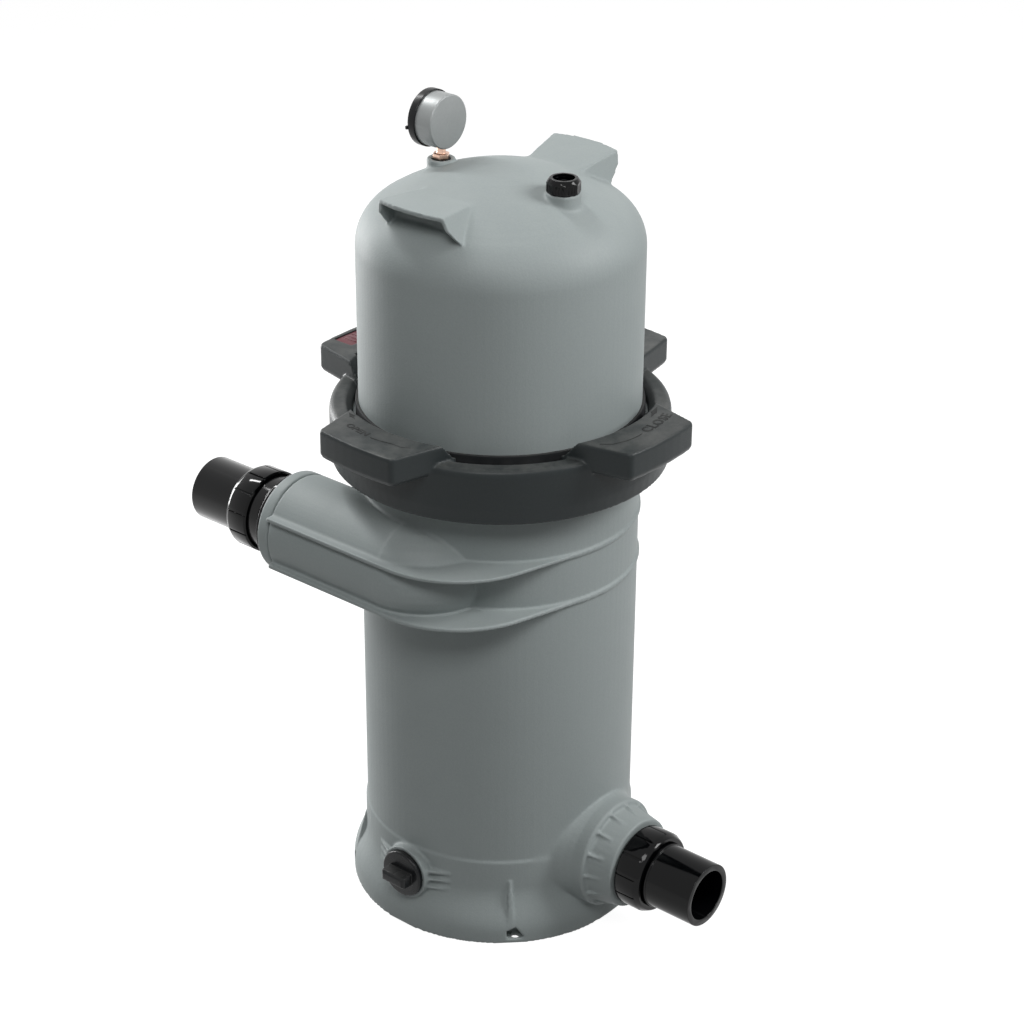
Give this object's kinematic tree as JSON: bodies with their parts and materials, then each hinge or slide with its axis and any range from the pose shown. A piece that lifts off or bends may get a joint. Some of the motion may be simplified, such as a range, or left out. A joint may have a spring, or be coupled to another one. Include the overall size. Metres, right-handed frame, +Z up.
{
  "type": "cartridge pool filter",
  "caption": "Cartridge pool filter: split grey tank with domed lid, handled charcoal lock ring, side inlet and low outlet unions, drain plug, pressure gauge and air relief valve.",
  "frame": {"origin": "centre of the foot on the floor plane, on the tank's axis", "axes": "+Z up along the tank's axis, +X out of the low outlet union, -X out of the side inlet union, -Y towards the drain plug"},
  "size_m": [0.522, 0.3862, 0.7977],
  "materials": {
    "grey_plastic": "moulded grey glass-filled plastic, fine matte grain",
    "ring_plastic": "moulded charcoal plastic, satin on top",
    "red_plastic": "dark red moulded tab",
    "rubber": "black moulded rubber",
    "pale_plastic": "off-white moulded plastic",
    "filter_media": "white pleated polyester felt",
    "cap_plastic": "blue moulded end cap",
    "black_plastic": "gloss black moulded plastic",
    "plug_plastic": "dark grey moulded plastic",
    "brass": "machined brass, copper tone",
    "case_metal": "satin grey coated steel",
    "bezel_plastic": "black moulded ring",
    "lens_glass": "clear lens",
    "dial_white": "white printed dial",
    "pointer_black": "black lacquered pointer"
  },
  "bodies": {
    "tank": {"lower_tank": "grey_plastic", "tank_o_ring": "rubber", "outlet_elbow": "pale_plastic", "outlet_collar": "black_plastic", "outlet_tail": "black_plastic", "outlet_o_ring": "rubber", "inlet_end_ring": "grey_plastic", "inlet_collar": "black_plastic", "inlet_tail": "black_plastic", "inlet_o_ring": "rubber", "drain_o_ring": "rubber"},
    "lid": {"upper_housing": "grey_plastic", "gauge_stem": "brass", "gauge_seal": "rubber", "gauge_case": "case_metal", "gauge_lens": "lens_glass", "gauge_dial": "dial_white", "gauge_movement": "brass", "bourdon_tube": "brass", "air_valve_stem": "black_plastic", "air_valve_o_ring": "rubber", "air_strainer": "pale_plastic"},
    "lock_ring": {"lock_ring": "ring_plastic"},
    "lock_tab": {"lock_tab": "red_plastic"},
    "cartridge": {"cartridge_media": "filter_media", "cartridge_core": "pale_plastic", "cartridge_top_cap": "cap_plastic", "cartridge_bottom_cap": "cap_plastic", "cartridge_seal": "rubber"},
    "outlet_nut": {"outlet_nut": "black_plastic"},
    "inlet_nut": {"inlet_nut": "black_plastic"},
    "drain_plug": {"drain_plug": "plug_plastic"},
    "gauge_bezel": {"gauge_bezel": "bezel_plastic"},
    "gauge_pointer": {"gauge_pointer": "pointer_black"},
    "air_valve_cap": {"air_valve_cap": "black_plastic"}
  },
  "joints": [
    {"name": "lid_lift", "type": "slide", "parent": "tank", "child": "lid", "axis": [0, 0, 1], "range_m": [0, 0.24]},
    {"name": "ring_turn", "type": "hinge", "parent": "lid", "child": "lock_ring", "pos_m": [0, 0, 0.504], "axis": [0, 0, 1], "range_deg": [-30, 0]},
    {"name": "tab_press", "type": "slide", "parent": "lock_ring", "child": "lock_tab", "axis": [0, 0, -1], "range_m": [0, 0.003], "stiffness_N_per_m": 900},
    {"name": "cartridge_lift", "type": "slide", "parent": "tank", "child": "cartridge", "axis": [0, 0, 1], "range_m": [0, 0.12]},
    {"name": "outlet_nut_turn", "type": "hinge", "parent": "tank", "child": "outlet_nut", "pos_m": [0.193, 0, 0.073], "axis": [1, 0, 0], "continuous": true},
    {"name": "inlet_nut_turn", "type": "hinge", "parent": "tank", "child": "inlet_nut", "pos_m": [-0.193, -0.125, 0.3855], "axis": [1, 0, 0], "continuous": true},
    {"name": "drain_plug_turn", "type": "hinge", "parent": "tank", "child": "drain_plug", "pos_m": [0, -0.143, 0.057], "axis": [0, -1, 0], "continuous": true},
    {"name": "air_valve_turn", "type": "hinge", "parent": "lid", "child": "air_valve_cap", "pos_m": [0.072, 0, 0.743], "axis": [0, 0, 1], "continuous": true},
    {"name": "gauge_bezel_turn", "type": "hinge", "parent": "lid", "child": "gauge_bezel", "pos_m": [-0.085, 0, 0.771], "axis": [1, 0, 0], "continuous": true},
    {"name": "gauge_pointer_turn", "type": "hinge", "parent": "lid", "child": "gauge_pointer", "pos_m": [-0.079, 0, 0.771], "axis": [1, 0, 0], "range_deg": [0, 270]}
  ],
  "couplings": [
    {"joint": "cartridge_lift", "follows": "lid_lift", "ratio": 0.45}
  ]
}
